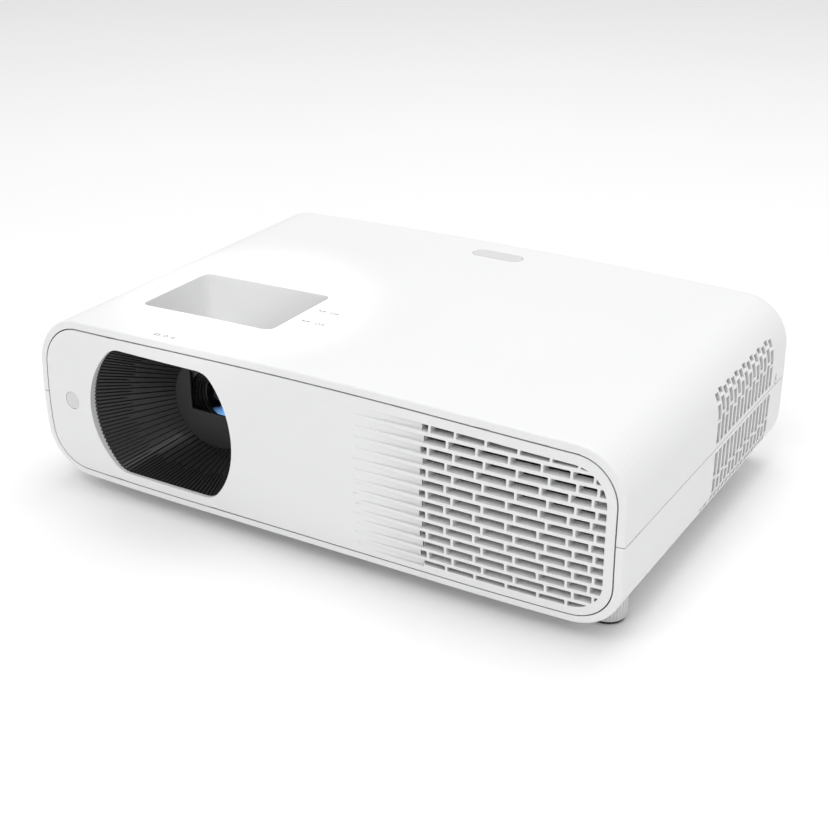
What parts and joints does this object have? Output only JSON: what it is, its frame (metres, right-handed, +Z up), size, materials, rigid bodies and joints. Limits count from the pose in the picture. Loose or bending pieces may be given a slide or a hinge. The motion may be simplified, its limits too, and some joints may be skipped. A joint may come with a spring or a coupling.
{
  "type": "home projector",
  "caption": "Low white home projector with a ribbed lens hood, slotted front grille, lens ring well, rear sockets and keys, and screw-out levelling feet.",
  "frame": {"origin": "centre of the underside of the four feet, on the table", "axes": "+X to the right seen from the front and along the width, the front with the lens faces -Y, +Z up"},
  "size_m": [0.42, 0.288, 0.127],
  "materials": {
    "white_case": "fine satin spark texture",
    "white_panel": "smooth satin",
    "black_hood": "matt anti-glare black",
    "lens_black": "satin black",
    "coated_glass": "anti-reflection coated",
    "grey_window": "smoked, infrared clear",
    "blue_light": "light guide",
    "black_plastic": "satin",
    "cast_metal": "as cast",
    "mirror_chip": "polished",
    "board_green": "solder mask",
    "tin_plate": "plated",
    "copper": "plain copper",
    "brass": "turned",
    "phosphor": "phosphor on a metal disc",
    "parts_dark": "moulded cases",
    "grey_key": "satin",
    "rubber": "matt",
    "foot_grey": "knurled satin",
    "screw_steel": "blackened",
    "paper_cone": "pressed paper"
  },
  "bodies": {
    "chassis": {"upper_case": "white_case", "lower_case": "white_case", "front_panel": "white_panel", "rear_panel": "black_plastic", "lens_hood": "black_hood", "hood_plate": "black_hood", "adjustment_well": "white_panel", "front_ir_window": "grey_window", "top_ir_window": "grey_window", "status_light": "blue_light", "lens_barrel": "lens_black", "rear_lens": "coated_glass", "engine_housing": "cast_metal", "prism": "coated_glass", "micromirror_chip": "mirror_chip", "wheel_motor": "cast_metal", "laser_bank": "cast_metal", "heat_pipes": "copper", "laser_heatsink": "cast_metal", "exhaust_fan_frame": "black_plastic", "intake_fan_frame": "black_plastic", "speaker_box": "black_plastic", "speaker_driver": "paper_cone", "power_board": "board_green", "power_parts": "parts_dark", "main_board": "board_green", "board_shield": "tin_plate", "key_board": "board_green", "hdmi_sockets": "tin_plate", "usb_socket": "tin_plate", "lan_socket": "tin_plate", "serial_socket": "tin_plate", "audio_sockets": "parts_dark", "mains_inlet": "black_plastic", "foot_nuts": "brass", "case_screws": "screw_steel", "mount_inserts": "brass"},
    "focus_ring": {"focus_ring": "lens_black"},
    "focus_group": {"focus_cell": "lens_black", "focus_lens": "coated_glass"},
    "zoom_ring": {"zoom_ring": "lens_black"},
    "zoom_group": {"zoom_cell": "lens_black", "zoom_lens": "coated_glass"},
    "phosphor_wheel": {"phosphor_wheel": "phosphor"},
    "exhaust_rotor": {"exhaust_fan_rotor": "black_plastic"},
    "intake_rotor": {"intake_fan_rotor": "black_plastic"},
    "enter_key": {"enter_key": "grey_key"},
    "up_key": {"up_key": "grey_key"},
    "down_key": {"down_key": "grey_key"},
    "left_key": {"left_key": "grey_key"},
    "right_key": {"right_key": "grey_key"},
    "power_key": {"power_key": "grey_key"},
    "pad_front_left": {"foot_pad_front_left": "rubber"},
    "screw_front_left": {"foot_screw_front_left": "foot_grey"},
    "pad_rear_left": {"foot_pad_rear_left": "rubber"},
    "screw_rear_left": {"foot_screw_rear_left": "foot_grey"},
    "pad_front_right": {"foot_pad_front_right": "rubber"},
    "screw_front_right": {"foot_screw_front_right": "foot_grey"},
    "pad_rear_right": {"foot_pad_rear_right": "rubber"},
    "screw_rear_right": {"foot_screw_rear_right": "foot_grey"}
  },
  "joints": [
    {"name": "focus_turn", "type": "hinge", "parent": "chassis", "child": "focus_ring", "pos_m": [-0.1, -0.068, 0.0675], "axis": [0, 1, 0], "range_deg": [-45, 45]},
    {"name": "focus_slide", "type": "slide", "parent": "chassis", "child": "focus_group", "axis": [0, 1, 0], "range_m": [-0.002, 0.002]},
    {"name": "zoom_turn", "type": "hinge", "parent": "chassis", "child": "zoom_ring", "pos_m": [-0.1, -0.048, 0.0675], "axis": [0, 1, 0], "range_deg": [-25, 25]},
    {"name": "zoom_slide", "type": "slide", "parent": "chassis", "child": "zoom_group", "axis": [0, 1, 0], "range_m": [-0.003, 0.003]},
    {"name": "phosphor_spin", "type": "hinge", "parent": "chassis", "child": "phosphor_wheel", "pos_m": [-0.03, 0.045, 0.06], "axis": [1, 0, 0], "continuous": true},
    {"name": "exhaust_spin", "type": "hinge", "parent": "chassis", "child": "exhaust_rotor", "pos_m": [0.132, -0.123, 0.068], "axis": [0, 1, 0], "continuous": true},
    {"name": "intake_spin", "type": "hinge", "parent": "chassis", "child": "intake_rotor", "pos_m": [-0.19, 0.05, 0.068], "axis": [1, 0, 0], "continuous": true},
    {"name": "enter_press", "type": "slide", "parent": "chassis", "child": "enter_key", "axis": [0, -1, 0], "range_m": [0, 0.0008], "stiffness_N_per_m": 400, "springref_m": -0.0003},
    {"name": "up_press", "type": "slide", "parent": "chassis", "child": "up_key", "axis": [0, -1, 0], "range_m": [0, 0.0008], "stiffness_N_per_m": 400, "springref_m": -0.0003},
    {"name": "down_press", "type": "slide", "parent": "chassis", "child": "down_key", "axis": [0, -1, 0], "range_m": [0, 0.0008], "stiffness_N_per_m": 400, "springref_m": -0.0003},
    {"name": "left_press", "type": "slide", "parent": "chassis", "child": "left_key", "axis": [0, -1, 0], "range_m": [0, 0.0008], "stiffness_N_per_m": 400, "springref_m": -0.0003},
    {"name": "right_press", "type": "slide", "parent": "chassis", "child": "right_key", "axis": [0, -1, 0], "range_m": [0, 0.0008], "stiffness_N_per_m": 400, "springref_m": -0.0003},
    {"name": "power_press", "type": "slide", "parent": "chassis", "child": "power_key", "axis": [0, -1, 0], "range_m": [0, 0.0008], "stiffness_N_per_m": 400, "springref_m": -0.0003},
    {"name": "foot_extend_front_left", "type": "slide", "parent": "chassis", "child": "pad_front_left", "axis": [0, 0, -1], "range_m": [0, 0.01]},
    {"name": "foot_turn_front_left", "type": "hinge", "parent": "pad_front_left", "child": "screw_front_left", "pos_m": [-0.187, -0.102, 0.01], "axis": [0, 0, 1], "range_deg": [0, 1800]},
    {"name": "foot_extend_rear_left", "type": "slide", "parent": "chassis", "child": "pad_rear_left", "axis": [0, 0, -1], "range_m": [0, 0.01]},
    {"name": "foot_turn_rear_left", "type": "hinge", "parent": "pad_rear_left", "child": "screw_rear_left", "pos_m": [-0.165, 0.108, 0.01], "axis": [0, 0, 1], "range_deg": [0, 1800]},
    {"name": "foot_extend_front_right", "type": "slide", "parent": "chassis", "child": "pad_front_right", "axis": [0, 0, -1], "range_m": [0, 0.01]},
    {"name": "foot_turn_front_right", "type": "hinge", "parent": "pad_front_right", "child": "screw_front_right", "pos_m": [0.187, -0.102, 0.01], "axis": [0, 0, 1], "range_deg": [0, 1800]},
    {"name": "foot_extend_rear_right", "type": "slide", "parent": "chassis", "child": "pad_rear_right", "axis": [0, 0, -1], "range_m": [0, 0.01]},
    {"name": "foot_turn_rear_right", "type": "hinge", "parent": "pad_rear_right", "child": "screw_rear_right", "pos_m": [0.165, 0.108, 0.01], "axis": [0, 0, 1], "range_deg": [0, 1800]}
  ],
  "couplings": [
    {"joint": "focus_slide", "follows": "focus_turn", "m_per_rad": 0.0022918},
    {"joint": "zoom_slide", "follows": "zoom_turn", "m_per_rad": 0.0064171},
    {"joint": "foot_turn_front_left", "follows": "foot_extend_front_left", "rad_per_m": 3141.6},
    {"joint": "foot_turn_rear_left", "follows": "foot_extend_rear_left", "rad_per_m": 3141.6},
    {"joint": "foot_turn_front_right", "follows": "foot_extend_front_right", "rad_per_m": 3141.6},
    {"joint": "foot_turn_rear_right", "follows": "foot_extend_rear_right", "rad_per_m": 3141.6}
  ]
}
